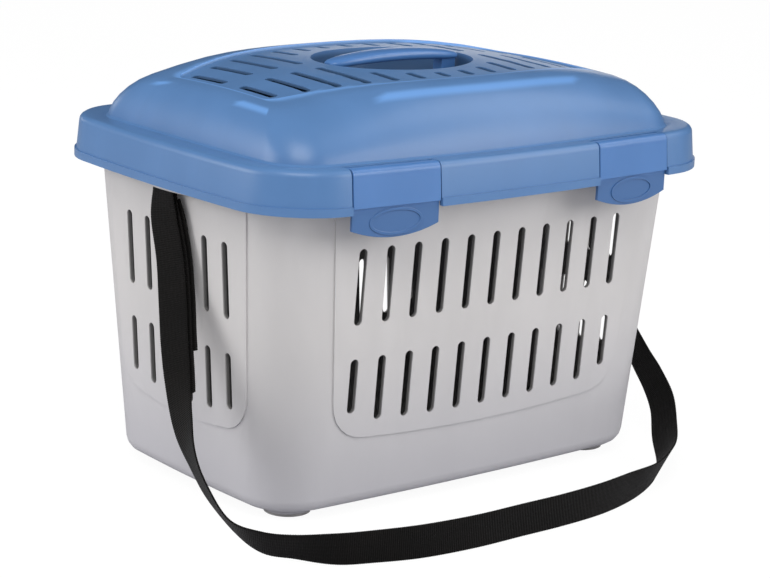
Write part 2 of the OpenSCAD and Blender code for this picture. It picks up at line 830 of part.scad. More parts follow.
module lid() {
    color(lid_blue)
        difference() {
            union() {
                difference() {
                    lid_shell();
                    lid_slots();
                    leg_guides();
                    for (side = [-1, 1]) {
                        at_latch(side)
                            latch_window();
                        translate([side * hinge_x, 0, 0])
                            hinge_notches();
                    }
                }
                for (side = [-1, 1]) {
                    at_latch(side)
                        latch_ears();
                    translate([side * hinge_x, 0, 0])
                        hinge_knuckle();
                }
            }
            for (side = [-1, 1])
                at_latch(side)
                    latch_bores();
            hinge_bores(pin_radius + running_play);
        }
}

// ---- Latches ----

function shoulder_arc(radius, start, step) = [
    for (s = [0:2 * bowl_steps])
        let (t = start + step * s / (2 * bowl_steps))
            [ledge_inset - radius * cos(t), lid_rim - shoulder + radius * sin(t)]
];

// The latch body follows the lid's own section, from the ledge to just above the skirt's foot
module latch_section() {
    polygon(concat(
        [[lip_flare, latch_body_foot]],
        shoulder_arc(shoulder, 0, 90),
        [[pivot_inset, ledge_z(pivot_inset)], [pivot_inset, ledge_z(pivot_inset) - lid_wall]],
        shoulder_arc(shoulder - lid_wall, 90, -90),
        [[lip_flare + lid_wall, latch_body_foot]]
    ));
}

tab_inset = lip_flare + tab_setback;

module tab_outline() {
    half = latch_width / 2;
    polygon(concat(
        [for (s = [-arc_steps:arc_steps])
            let (x = half * s / arc_steps) [x, tab_foot + tab_arc * pow(x / half, 2)]],
        [[half, latch_body_foot + lip_height], [-half, latch_body_foot + lip_height]]
    ));
}

module oval_outline(half_length, half_height) {
    polygon([
        for (s = [0:4 * arc_steps - 1])
            let (t = 90 * s / arc_steps) [half_length * cos(t), half_height * sin(t)]
    ]);
}

module latch(side) {
    oval_z = (tab_foot + latch_body_foot) / 2;
    color(latch_blue)
        at_latch(side) {
            along_x(latch_width)
                latch_section();
            translate([0, pivot_inset, pivot_z])
                rotate([0, 90, 0]) {
                    cylinder(r = barrel_radius, h = latch_width, center = true, $fn = bore_faces);
                    cylinder(r = stub_radius, h = 2 * (window_half + latch_ear), center = true,
                             $fn = bore_faces);
                }
            translate([0, tab_inset + lid_wall / 2, 0])
                along_y(lid_wall)
                    tab_outline();
            translate([0, tab_inset + lid_wall / 2 - oval_raise, oval_z])
                along_y(lid_wall)
                    difference() {
                        oval_outline(tab_oval / 2, tab_oval_height / 2);
                        oval_outline(tab_oval / 2 - oval_band, tab_oval_height / 2 - oval_band);
                    }
            translate([-catch_width / 2, lip_flare + lid_wall, rim_under - catch_gap - catch_height])
                cube([catch_width, rim_edge_inset(side) - catch_gap - lip_flare - lid_wall,
                      catch_height]);
        }
}

// ---- Hinge pins and strap bars ----

module hinge_pin(side) {
    color(pin_grey)
        translate([side * hinge_x, hinge_y, hinge_z])
            rotate([0, 90, 0]) {
                cylinder(r = pin_radius, h = 2 * pin_half, center = true, $fn = bore_faces);
                for (s = [-1, 1])
                    translate([0, 0, s * (pin_half + pin_head_thickness / 2)])
                        cylinder(r = pin_head, h = pin_head_thickness, center = true,
                                 $fn = bore_faces);
            }
}

module strap_bar(side) {
    color(pin_grey)
        translate([side * bar_x, 0, bar_z])
            rotate([90, 0, 0])
                cylinder(r = bar_radius, h = 2 * bar_half, center = true, $fn = bore_faces);
}

// ---- Grip ----

// The grip's rounded section at t degrees from its middle towards its end, where it closes
function grip_ring(t) =
    let (x = grip_length / 2 * sin(t), size = pow(cos(t), end_power),
         drop = grip_arch * pow(sin(t), 2))
        [for (s = [0:4 * arc_steps - 1])
            let (u = 90 * s / arc_steps)
                [x, size * grip_width / 2 * squared(cos(u)),
                 grip_middle - drop + size * grip_height / 2 * squared(sin(u))]];
function squared(share) = sign(share) * pow(abs(share), section_power);

module carry_handle() {
    post_foot = bowl_floor + seat_gap;
    post_top = grip_middle - grip_arch;
    color(lid_blue) {
        loft([for (s = [-grip_steps:grip_steps]) grip_ring(grip_turn * s / grip_steps)]);
        for (s = [-1, 1])
            translate([s * post_spacing / 2, 0, 0]) {
                translate([-leg_length / 2 - post_step, -leg_width / 2 - post_step, post_foot])
                    cube([leg_length + 2 * post_step, leg_width + 2 * post_step,
                          post_top - post_foot]);
                translate([-leg_length / 2, -leg_width / 2, leg_foot])
                    cube([leg_length, leg_width, post_foot + bite - leg_foot]);
            }
    }
}

module handle_stop(side) {
    color(lid_blue)
        translate([side * post_spacing / 2, 0, leg_foot - stop_thickness / 2])
            cube([leg_length + 2 * post_step, leg_width + 2 * post_step, stop_thickness],
                 center = true);
}

// ---- Shoulder strap ----

// The strap's middle line from the left bracket to the right one. Each row is a point on it,
// then the way its width faces: degrees around +Z from +X, and degrees up from level.
strap_route = [
    [-strap_x, 0, bar_z, -90, 0],
    [-strap_x, 0, skirt_foot - bracket_drop, -90, 0],
    [-212, -4, 215, -75, 10],
    [-212, -13, 185, -70, 15],
    [-217, -25, 155, -65, 20],
    [-225, -40, 130, -65, 25],
    [-231, -54, 105, -70, 30],
    [-240, -75, 80, -85, 40],
    [-245, -95, 60, -115, 45],
    [-246, -115, 42, -130, 45],
    [-241, -139, 23, -140, 40],
    [-230, -160, 15, -130, 55],
    [-214, -178, 14, -120, 60],
    [-190, -195, 13, -120, 80],
    [-165, -205, 13, -115, 85],
    [-130, -215, 13, -90, 90],
    [-85, -220, 13, -90, 90],
    [-40, -220, 13, -90, 90],
    [0, -220, 13, -90, 90],
    [40, -217, 13, -90, 90],
    [75, -210, 13, -75, 85],
    [110, -200, 13, -65, 70],
    [140, -183, 13, -55, 65],
    [168, -160, 13, -50, 55],
    [190, -135, 20, -50, 42],
    [208, -113, 34, -65, 42],
    [216, -93, 48, -80, 42],
    [221, -72, 62, -90, 40],
    [223, -50, 84, -100, 35],
    [220, -32, 112, -100, 25],
    [217, -17, 140, -100, 20],
    [215, -8, 170, -100, 10],
    [213, -3, 200, -95, 5],
    [211, 0, 225, -90, 0],
    [strap_x, 0, skirt_foot - bracket_drop, -90, 0],
    [strap_x, 0, bar_z, -90, 0]
];

function width_way(row) = [
    cos(row[4]) * cos(row[3]),
    cos(row[4]) * sin(row[3]),
    sin(row[4])
];
function unit(v) = v / norm(v);
// A smooth curve through the list's items, at t of the way from item i to the next one
function curve(list, i, t) =
    let (last = len(list) - 1, a = list[max(i - 1, 0)], b = list[i], c = list[i + 1],
         d = list[min(i + 2, last)])
        b + (t * (c - a) + t * t * (2 * a - 5 * b + 4 * c - d)
            + t * t * t * (3 * b - a - 3 * c + d)) / 2;
function smoothed(list) = concat(
    [for (i = [0:len(list) - 2])
        for (s = [0:strap_steps - 1]) curve(list, i, s / strap_steps)],
    [list[len(list) - 1]]
);
// The direction along a list of points at its point i
function along(points, i) =
    unit(points[min(i + 1, len(points) - 1)] - points[max(i - 1, 0)]);

strap_points = smoothed([for (row = strap_route) [row[0], row[1], row[2]]]);
strap_ways = smoothed([for (row = strap_route) width_way(row)]);
strap_last = len(strap_points) - 1;

function strap_across(i) =
    let (ahead = along(strap_points, i), way = strap_ways[i])
        unit(way - ahead * (way * ahead));
function strap_outward(i) = cross(along(strap_points, i), strap_across(i));
// A ring of the strap's outline round a place: its middle, the way of its width, and its face
function strap_ring(place) =
    let (w = place[1] * strap_width / 2, n = place[2] * strap_thickness / 2)
        [place[0] + w - n, place[0] + w + n, place[0] - w + n, place[0] - w - n];
function strap_place(i) = [strap_points[i], strap_across(i), strap_outward(i)];

// Places of a layer behind the strap, counted from the bracket on this side
function layer(side, depth, shift, first, last) = [
    for (j = [first:last])
        let (p = strap_place(side < 0 ? j : strap_last - j))
            [p[0] - p[2] * depth + p[1] * shift * min(1, (j - tail_first) / tail_first),
             p[1], p[2] * -side]
];
function bar_loop(side, radius) = [
    for (a = [tail_arc:tail_arc:180])
        [[side * (bar_x + radius * cos(a)), 0, bar_z + radius * sin(a)],
         [0, -1, 0], [cos(a), 0, side * sin(a)]]
];

module strap_layer(places) {
    loft([for (place = places) strap_ring(place)]);
}

module shoulder_strap() {
    color(strap_black)
        strap_layer([for (i = [0:strap_last]) strap_place(i)]);
}

// The strap's end: over the bar and down behind the strap, with a shorter layer sewn to it
module strap_tail(side) {
    radius = bar_radius + strap_gap + strap_thickness / 2;
    behind = strap_thickness + layer_gap;
    under_bar = [[side * (bar_x - radius), 0, bar_z - radius], [0, -1, 0], [-1, 0, 0]];
    color(strap_black) {
        strap_layer(concat(
            bar_loop(side, radius),
            [under_bar],
            layer(side, behind, tail_shift, tail_first, long_tail)
        ));
        strap_layer(layer(side, behind + strap_thickness - stitch_bite, 2 * tail_shift,
                          tail_first + 1, short_tail));
    }
}

tub();
foot_pad(-foot_x, -foot_y);  // foot_pad_front_left
foot_pad(foot_x, -foot_y);  // foot_pad_front_right
foot_pad(-foot_x, foot_y);  // foot_pad_back_left
foot_pad(foot_x, foot_y);  // foot_pad_back_right
lid();
latch(-1);  // latch_left
latch(1);  // latch_right
hinge_pin(-1);  // hinge_pin_left
hinge_pin(1);  // hinge_pin_right
carry_handle();
handle_stop(-1);  // handle_stop_left
handle_stop(1);  // handle_stop_right
strap_bar(-1);  // strap_bar_left
strap_bar(1);  // strap_bar_right
shoulder_strap();
strap_tail(-1);  // strap_tail_left
strap_tail(1);  // strap_tail_right
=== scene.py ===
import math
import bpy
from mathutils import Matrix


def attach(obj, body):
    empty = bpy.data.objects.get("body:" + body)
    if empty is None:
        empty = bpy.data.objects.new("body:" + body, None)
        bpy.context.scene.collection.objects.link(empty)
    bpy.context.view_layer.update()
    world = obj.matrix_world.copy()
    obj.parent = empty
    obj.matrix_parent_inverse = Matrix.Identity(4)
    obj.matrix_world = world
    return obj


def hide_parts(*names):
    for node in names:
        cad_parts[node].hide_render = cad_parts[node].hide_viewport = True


bl_info = {
    "name": "Small pet carrier",
    "version": (1, 0, 0),
    "blender": (4, 5, 0),
    "location": "3D View > Sidebar > Carrier",
    "description": "Dresses the slatted carrier with its domed lid, latches, grip and shoulder strap",
    "category": "Object",
}

import bmesh
import bpy
from bpy.props import FloatProperty, FloatVectorProperty, PointerProperty
from mathutils import Matrix, Vector

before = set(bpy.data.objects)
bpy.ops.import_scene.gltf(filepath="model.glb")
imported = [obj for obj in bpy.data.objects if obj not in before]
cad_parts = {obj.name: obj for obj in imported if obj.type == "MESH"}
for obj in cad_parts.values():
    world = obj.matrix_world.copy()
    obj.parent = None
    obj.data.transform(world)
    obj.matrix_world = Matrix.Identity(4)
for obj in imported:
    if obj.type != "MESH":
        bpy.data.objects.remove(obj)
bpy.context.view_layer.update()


# ---- Settings ----


def colour(name, words, default):
    return FloatVectorProperty(
        name=name, description=words, default=default, subtype="COLOR", size=3, min=0, max=1
    )


def length(name, words, default, least=0.0, most=1.0):
    return FloatProperty(
        name=name, description=words, default=default, min=least, max=most, unit="LENGTH",
        precision=5,
    )


def amount(name, words, default, most):
    return FloatProperty(name=name, description=words, default=default, min=0, max=most)


class CarrierColours(bpy.types.PropertyGroup):
    tub: colour("Tub", "Warm light grey of the tub's plastic", (0.632, 0.619, 0.616))
    lid: colour("Lid", "Mid blue of the lid's plastic", (0.089, 0.206, 0.435))
    latch: colour("Latches and grip", "Deeper blue of the latches and grip", (0.072, 0.195, 0.47))
    webbing: colour("Webbing", "Near-black of the strap's yarn", (0.0028, 0.0025, 0.0023))
    pads: colour("Foot pads", "Grey of the soft foot discs", (0.42, 0.41, 0.415))
    pins: colour("Pins", "Grey of the hinge pins and strap bars", (0.27, 0.262, 0.27))


class CarrierFinish(bpy.types.PropertyGroup):
    tub_edge: length("Tub edge", "Rounding of the tub's moulded edges", 0.0006, 0.0001, 0.002)
    lid_edge: length("Lid edge", "Rounding of the lid's moulded edges", 0.0006, 0.0001, 0.002)
    grain: length("Grain", "Size of the mould's fine grain", 0.0006, 0.0002, 0.003)


class CarrierStrap(bpy.types.PropertyGroup):
    width: length("Width", "Width of the webbing", 0.025, 0.018, 0.026)
    thickness: length("Thickness", "Thickness of the webbing", 0.0015, 0.001, 0.0018)
    rib: length("Rib pitch", "Distance between two ribs across the webbing", 0.0016, 0.001, 0.003)


class CarrierStage(bpy.types.PropertyGroup):
    fill: amount("Fill", "Strength of the soft light from all round", 0.60, 2)
    shine: amount("Shine", "Strength of the room that glossy plastic mirrors", 0.04, 2)
    front: amount("Front lamp", "Power of the lamp before the long side, in watts", 21.0, 200)
    side: amount("Side lamp", "Power of the lamp before the left end, in watts", 20.5, 200)
    top: amount("Top lamp", "Power of the soft lamp above the near corner, in watts", 19.0, 200)
    back: amount("Back lamps", "Power of each lamp behind that edges and rims mirror", 2.5, 200)
    glint: amount("Glint lamp", "Power of the lamp that only glossy plastic shows", 8.0, 200)
    floor_white: amount("Floor white", "Share of plain white that the floor shows", 0.90, 1)


# ---- Shader arithmetic ----


class Value:
    """A shader number that Python's own arithmetic extends with Math nodes."""

    def __init__(self, shader, socket):
        self.shader = shader
        self.socket = socket

    def math(self, operation, *others, clamp=False):
        return self.shader.maths(operation, self, *others, clamp=clamp)

    def __add__(self, other):
        return self.math("ADD", other)

    def __radd__(self, other):
        return self.math("ADD", other)

    def __sub__(self, other):
        return self.math("SUBTRACT", other)

    def __rsub__(self, other):
        return self.shader.maths("SUBTRACT", other, self)

    def __mul__(self, other):
        return self.math("MULTIPLY", other)

    def sine(self):
        return self.math("SINE")

    def between(self, low, high):
        """0 below low, 1 above high and smooth from one to the other."""
        return Value(self.shader, self.shader.node(
            "ShaderNodeMapRange", {"interpolation_type": "SMOOTHSTEP"},
            {"Value": self, "From Min": low, "From Max": high}).outputs["Result"])

    def held(self):
        """Kept from 0 to 1."""
        return self.math("ADD", 0.0, clamp=True)


class Shader:
    """A new material and its nodes."""

    def __init__(self, name):
        self.material = bpy.data.materials.new(name)
        self.material.use_nodes = True
        self.tree = self.material.node_tree
        self.surface = self.tree.nodes["Principled BSDF"]
        self.output = self.tree.nodes["Material Output"]

    def plug(self, target, value):
        if isinstance(value, Value):
            value = value.socket
        if isinstance(value, bpy.types.NodeSocket):
            self.tree.links.new(value, target)
        elif isinstance(value, (tuple, list)) and target.type == "RGBA" and len(value) == 3:
            target.default_value = (*value, 1.0)
        else:
            target.default_value = value

    def node(self, kind, settings=None, sockets=None):
        made = self.tree.nodes.new(kind)
        for key, value in (settings or {}).items():
            setattr(made, key, value)
        for key, value in (sockets or {}).items():
            self.plug(made.inputs[key], value)
        return made

    def maths(self, operation, *parts, clamp=False):
        made = self.node("ShaderNodeMath", {"operation": operation, "use_clamp": clamp},
                         dict(enumerate(parts)))
        return Value(self, made.outputs[0])

    def place(self):
        return self.node("ShaderNodeTexCoord").outputs["Object"]

    def marked(self, name):
        """The float that a mesh holds on its points under a name."""
        made = self.node("ShaderNodeAttribute", {"attribute_name": name})
        return Value(self, made.outputs["Fac"])

    def apart(self, vector):
        made = self.node("ShaderNodeSeparateXYZ", sockets={0: vector})
        return [Value(self, made.outputs[i]) for i in range(3)]

    def noise(self, vector, size, detail=2.0, rough=0.5, warp=0.0):
        made = self.node("ShaderNodeTexNoise", sockets={
            "Vector": vector, "Scale": 1.0 / size, "Detail": detail, "Roughness": rough,
            "Distortion": warp})
        return Value(self, made.outputs["Fac"])

    def scaled(self, vector, factors):
        made = self.node("ShaderNodeVectorMath", {"operation": "MULTIPLY"},
                         {0: vector, 1: factors})
        return made.outputs[0]

    def mix(self, share, first, second):
        made = self.node("ShaderNodeMix", {"data_type": "RGBA"}, {"Factor": share})
        self.plug(made.inputs[6], first)
        self.plug(made.inputs[7], second)
        return made.outputs[2]

    def bump(self, height, depth, below=None):
        sockets = {"Height": height, "Distance": depth, "Strength": 1.0}
        if below is not None:
            sockets["Normal"] = below
        return self.node("ShaderNodeBump", sockets=sockets).outputs["Normal"]

    def finish(self, **values):
        for key, value in values.items():
            self.plug(self.surface.inputs[key.replace("_", " ")], value)
        return self.material


def shade(base, factor):
    return tuple(min(1.0, c * factor) for c in base)


def tinted(base, factors):
    return tuple(c * f for c, f in zip(base, factors))


# ---- Materials ----

# Height up to which painted shade darkens and cools the tub's foot, and the height that a band of
# painted shade fades over
SHADED_FOOT_TOP = 0.16
BAND_FADE = 0.004

YARN_PITCH = 0.0011
FUZZ_COLOUR = (0.012, 0.011, 0.010)
WORN_YARN = (1.9, 1.6, 1.5)


def moulded_plastic(name, base, grain, rough, gloss_coat, wear, shaded_foot=None, inside=None,
                    shaded_band=None, rim_highlight=None):
    """Moulded plastic with fine grain, slow flow marks and faint scuffs.

    Where asked, painted shade darkens its foot and cools it, darkens a band low on it or its inside,
    and a painted highlight lightens its rim edges.
    """
    s = Shader(name)
    place = s.place()
    fine = s.noise(place, grain, 2.0, 0.6)
    flow = s.noise(s.scaled(place, (1.0, 1.0, 0.35)), 0.06, 3.0, 0.55, 0.4)
    scuff = s.noise(s.scaled(place, (1.0, 1.0, 6.0)), 0.012, 4.0, 0.7, 0.2)
    marks = scuff.between(0.62, 0.78) * wear
    tone = s.mix(flow.between(0.3, 0.7), shade(base, 0.965), shade(base, 1.03))
    tone = s.mix((marks * 0.35).held(), tone, shade(base, 1.25))
    # Painted shade: a darker, cooler colour towards the bottom of the foot
    if shaded_foot is not None:
        z = s.apart(place)[2]
        low = 1.0 - z.between(0.0, SHADED_FOOT_TOP)
        tone = s.mix((low * 0.8).held(), tone, shaded_foot)
    # Painted shade: a darker band below a given height
    if shaded_band is not None:
        top, factor = shaded_band
        under = 1.0 - s.apart(place)[2].between(top - BAND_FADE, top)
        tone = s.mix(under, tone, shade(base, factor))
    # Painted highlight: a lighter colour on the marked rim edges
    if rim_highlight is not None:
        tone = s.mix(s.marked("rim").between(0.2, 0.9), tone, shade(base, rim_highlight))
    # Painted shade: a darker colour on the faces marked as looking inward
    if inside is not None:
        tone = s.mix(s.marked("inside").between(0.0, 0.5), tone, shade(base, inside))
    roughness = (rough + (flow - 0.5) * 0.10 + (fine - 0.5) * 0.10 + marks * 0.12).held()
    ripple = s.bump(flow, 0.0006)
    normal = s.bump(fine, grain * 0.06, ripple)
    s.surface.inputs["Coat Roughness"].default_value = 0.24
    s.surface.inputs["Coat Weight"].default_value = gloss_coat
    s.surface.inputs["Specular IOR Level"].default_value = 0.5
    return s.finish(Base_Color=tone, Roughness=roughness, Normal=normal)


def woven_webbing(name, base, rib):
    """Flat woven webbing: ribs across and fine yarns along."""
    s = Shader(name)
    made = s.node("ShaderNodeUVMap", {"uv_map": "weave"})
    along, across, _ = s.apart(made.outputs[0])
    place = s.place()
    turn = 2 * math.pi
    ribs = (along * (turn / rib)).sine() * 0.5 + 0.5
    slant = across * (turn / (rib * 2.0)) + (along * (math.pi / rib)).sine() * 0.6
    yarns = (across * (turn / YARN_PITCH)).sine() * 0.5 + 0.5
    twill = slant.sine() * 0.5 + 0.5
    cloud = s.noise(place, 0.03, 3.0, 0.6)
    fuzz = s.noise(place, 0.0005, 2.0, 0.7)
    tone = s.mix(ribs * 0.75, shade(base, 0.55), shade(base, 1.5))
    tone = s.mix(yarns * 0.35, tone, shade(base, 0.8))
    tone = s.mix(cloud.between(0.35, 0.7) * 0.5, tone, tinted(base, WORN_YARN))
    tone = s.mix(fuzz.between(0.62, 0.8) * 0.3, tone, FUZZ_COLOUR)
    height = ribs * 0.6 + yarns * 0.25 + twill * 0.15
    normal = s.bump(height, 0.0004, s.bump(fuzz, 0.0001))
    rough = (0.62 + (fuzz - 0.5) * 0.2 - ribs * 0.08).held()
    s.surface.inputs["Sheen Weight"].default_value = 0.06
    s.surface.inputs["Sheen Roughness"].default_value = 0.4
    s.surface.inputs["Specular IOR Level"].default_value = 0.14
    return s.finish(Base_Color=tone, Roughness=rough, Normal=normal)


# ---- Meshes ----

# Upward share of the normals on the slopes round the lid's top, the height that they lie above,
# and how near to a face's highest point its upper edge lies, where the painted highlight goes
SLOPE_NORMAL = (0.2, 0.85)
SLOPE_FOOT = 0.3
RIM_BAND = 0.0006


def settings():
    return bpy.context.scene.carrier_colours, bpy.context.scene.carrier_finish


def put(name, bm, material, body):
    """A finished piece from a bmesh, at the origin and riding on its body."""
    mesh = bpy.data.meshes.new(name)
    bm.to_mesh(mesh)
    bm.free()
    piece = bpy.data.objects.new(name, mesh)
    bpy.context.scene.collection.objects.link(piece)
    mesh.materials.clear()
    mesh.materials.append(material)
    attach(piece, body)
    return piece


def merged(node):
    """A node's own shape with its loose triangles joined and its flat faces made whole."""
    bm = bmesh.new()
    bm.from_mesh(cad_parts[node].data)
    bmesh.ops.remove_doubles(bm, verts=bm.verts, dist=2e-6)
    bmesh.ops.dissolve_degenerate(bm, edges=bm.edges, dist=1e-6)
    bmesh.ops.dissolve_limit(
        bm, angle_limit=math.radians(0.2), verts=bm.verts, edges=bm.edges,
        use_dissolve_boundaries=False
    )
    return bm


def smooth(bm, angle):
    for face in bm.faces:
        face.smooth = True
    for edge in bm.edges:
        if len(edge.link_faces) == 2:
            edge.smooth = edge.calc_face_angle(0.0) < math.radians(angle)


def mark_shaded_inside(bm, faces_in):
    """1 at the corners of the faces that look inward, which get painted shade, and 0 elsewhere, on
    every point.
    """
    layer = bm.verts.layers.float.new("inside")
    for face in bm.faces:
        if faces_in(face.calc_center_median(), face.normal):
            for vert in face.verts:
                vert[layer] = 1.0


def mark_highlighted_rim(bm):
    """1 on the upper edge of the slopes that lead down from the lid's top, for a painted highlight, 0
    elsewhere.
    """
    layer = bm.verts.layers.float.new("rim")
    for face in bm.faces:
        sloped = SLOPE_NORMAL[0] < face.normal.z < SLOPE_NORMAL[1]
        if sloped and face.calc_center_median().z > SLOPE_FOOT:
            high = max(vert.co.z for vert in face.verts)
            for vert in face.verts:
                flat = any(near.normal.z > 0.9 for near in vert.link_faces)
                if flat and vert.co.z > high - RIM_BAND:
                    vert[layer] = 1.0


def dress(node, material, body, rounding, angle=32.0, crease=32.0, faces_in=None,
          painted_rim_highlights=False):
    """A node's shape with its sharp edges rounded, standing for the node."""
    bm = merged(node)
    smooth(bm, crease)
    if faces_in:
        mark_shaded_inside(bm, faces_in)
    if painted_rim_highlights:
        mark_highlighted_rim(bm)
    piece = put(node + "_shell", bm, material, body)
    if rounding:
        edge = piece.modifiers.new("Edges", "BEVEL")
        edge.width = rounding
        edge.segments = 2
        edge.limit_method = "ANGLE"
        edge.angle_limit = math.radians(angle)
        edge.harden_normals = True
        edge.use_clamp_overlap = True
    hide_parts(node)
    return piece


# ---- The strap's route ----

# Millimetres, like the route of the part itself: a point on the strap's middle line, then the
# way its width faces, in degrees around +Z from +X and in degrees up from level
MM = 0.001
BAR_X = 207.069
BAR_Z = 244.9
STRAP_X = 210.419
LIP_FOOT = 235.3
BAR_RADIUS = 2.5
# Heights at which the two folded layers end, and how far each lies beside the one before it
LAYER_FEET = (94, 122)
LAYER_SHIFT = 2.5
# How much lower each layer starts below the lip, and the height over which it shifts
LAYER_START = 4
LAYER_SETTLE = 20
ROUTE = [
    (-STRAP_X, 0, BAR_Z, -90, 0),
    (-STRAP_X, 0, LIP_FOOT, -90, 0),
    (-212, -4, 215, -75, 10),
    (-212, -13, 185, -70, 15),
    (-217, -25, 155, -65, 20),
    (-225, -40, 130, -65, 25),
    (-231, -54, 105, -70, 30),
    (-240, -75, 80, -85, 40),
    (-245, -95, 60, -115, 45),
    (-246, -115, 42, -130, 45),
    (-241, -139, 23, -140, 40),
    (-230, -160, 15, -130, 55),
    (-214, -178, 14, -120, 60),
    (-190, -195, 13, -120, 80),
    (-165, -205, 13, -115, 85),
    (-130, -215, 13, -90, 90),
    (-85, -220, 13, -90, 90),
    (-40, -220, 13, -90, 90),
    (0, -220, 13, -90, 90),
    (40, -217, 13, -90, 90),
    (75, -210, 13, -75, 85),
    (110, -200, 13, -65, 70),
    (140, -183, 13, -55, 65),
    (168, -160, 13, -50, 55),
    (190, -135, 20, -50, 42),
    (208, -113, 34, -65, 42),
    (216, -93, 48, -80, 42),
    (221, -72, 62, -90, 40),
    (223, -50, 84, -100, 35),
    (220, -32, 112, -100, 25),
    (217, -17, 140, -100, 20),
    (215, -8, 170, -100, 10),
    (213, -3, 200, -95, 5),
    (211, 0, 225, -90, 0),
    (STRAP_X, 0, LIP_FOOT, -90, 0),
    (STRAP_X, 0, BAR_Z, -90, 0),
]


def curve_at(items, i, t):
    """A smooth curve through the items, t of the way from item i to the next."""
    last = len(items) - 1
    a, b, c, d = (items[min(max(k, 0), last)] for k in (i - 1, i, i + 1, i + 2))
    return b + (t * (c - a) + t * t * (2 * a - 5 * b + 4 * c - d)
                + t * t * t * (3 * b - a - 3 * c + d)) / 2


def even(points, ways, step):
    """The same path with its points evenly apart, and the widths' directions square to it."""
    total = [0.0]
    for p, q in zip(points, points[1:]):
        total.append(total[-1] + (q - p).length)
    count = max(2, round(total[-1] / step))
    spots, sides, k = [], [], 0
    for n in range(count + 1):
        at = total[-1] * n / count
        while k < len(points) - 2 and total[k + 1] < at:
            k += 1
        t = (at - total[k]) / max(1e-9, total[k + 1] - total[k])
        spots.append(points[k].lerp(points[k + 1], t))
        sides.append(ways[k].lerp(ways[k + 1], t))
    return spots, squared(spots, sides), total[-1]


def squared(spots, sides):
    out = []
    for n, side in enumerate(sides):
        ahead = (spots[min(n + 1, len(spots) - 1)] - spots[max(n - 1, 0)]).normalized()
        out.append((side - ahead * side.dot(ahead)).normalized())
    return out


def strap_line():
    points = [Vector(row[:3]) * MM for row in ROUTE]
    ways = []
    for *_, turn, tilt in ROUTE:
        turn, tilt = math.radians(turn), math.radians(tilt)
        ways.append(Vector((math.cos(tilt) * math.cos(turn), math.cos(tilt) * math.sin(turn),
                            math.sin(tilt))))
    spots = [curve_at(points, i, t / 8) for i in range(len(points) - 1) for t in range(8)]
    sides = [curve_at(ways, i, t / 8) for i in range(len(ways) - 1) for t in range(8)]
    return spots + [points[-1]], sides + [ways[-1]]


# Metres: how far the webbing's middle bulges, its edge's rounding, and the thickness that it lacks
# so that the bulge stays within the whole
CROWN = 0.00012
WEB_EDGE = 0.0003
WEB_SPARE = 0.0002
# How far the edge's teeth reach, as a share of the rib pitch
TOOTH = 0.10


def webbing_strip(name, spots, sides, sizes, material):
    """A strip of webbing along a path, with ribs across it and toothed edges."""
    across = 8
    bm = bmesh.new()
    bmesh.ops.create_grid(bm, x_segments=len(spots) - 1, y_segments=across, size=1.0)
    weave = bm.loops.layers.uv.new("weave")
    last = len(spots) - 1
    cell = {}
    for vert in bm.verts:
        i = round((vert.co.x + 1) / 2 * last)
        j = round((vert.co.y + 1) / 2 * across)
        cell[vert] = (i, j)
    for vert, (i, j) in cell.items():
        share = 2 * j / across - 1
        ahead = (spots[min(i + 1, last)] - spots[max(i - 1, 0)]).normalized()
        face = ahead.cross(sides[i])
        tooth = sizes.rib * TOOTH * (j in (0, across)) * (1 if i % 2 else -1)
        crown = CROWN * math.cos(share * math.pi / 2)
        reach = share * sizes.width / 2 + math.copysign(1, share) * tooth
        vert.co = spots[i] + sides[i] * reach + face * crown
    step = (spots[1] - spots[0]).length
    for face in bm.faces:
        face.smooth = True
        for loop in face.loops:
            i, j = cell[loop.vert]
            loop[weave].uv = (i * step, (j / across - 0.5) * sizes.width)
    piece = put(name, bm, material, "tub")
    body = piece.modifiers.new("Thickness", "SOLIDIFY")
    body.thickness = sizes.thickness - WEB_SPARE
    body.offset = 0.0
    edge = piece.modifiers.new("Edges", "BEVEL")
    edge.width = WEB_EDGE
    edge.segments = 2
    edge.limit_method = "ANGLE"
    edge.angle_limit = math.radians(60)
    return piece


# ---- Operators ----

# The camera's focal length in pixels of a picture this wide, its place in metres, and its turn
# around +Z, its pitch and its roll in degrees
FOCAL_PIXELS = 2338.0356
PICTURE_WIDTH = 770.0
SENSOR_WIDTH = 36.0
CAMERA_PLACE = (-1.136731, -1.400616, 0.582247)
CAMERA_TURNS = (-39.10194699, 13.99070091, 2.16338959)

# Each lamp's name, place, size, the setting for its power, and whether matt shading leaves it out
LAMPS = (
    ("Front lamp", (1.25, -1.85, 0.95), (1.6, 1.2), "front", False),
    ("Side lamp", (-2.0, 1.1, 0.95), (1.6, 1.2), "side", False),
    ("Glint lamp", (1.25, -0.65, 1.65), (1.0, 1.0), "glint", True),
    ("Top lamp", (-1.0, -1.0, 1.8), (1.2, 1.2), "top", False),
    ("Back lamp", (2.0, 2.1, 0.5), (1.0, 0.4), "back", True),
    ("Far lamp", (-0.3, 2.9, 0.7), (1.0, 0.4), "back", True),
)
LAMP_AIM = (0, 0, 0.15)
LAMP_COLOUR = (1.0, 0.985, 0.97)

FLOOR_HALF = 8.0
FLOOR_DROP = 0.0002
FLOOR_GLOW = 1.04
FLOOR_BOUNCE = (0.50, 0.50, 0.53)
FLOOR_SEEN = (0.9, 0.9, 0.9)


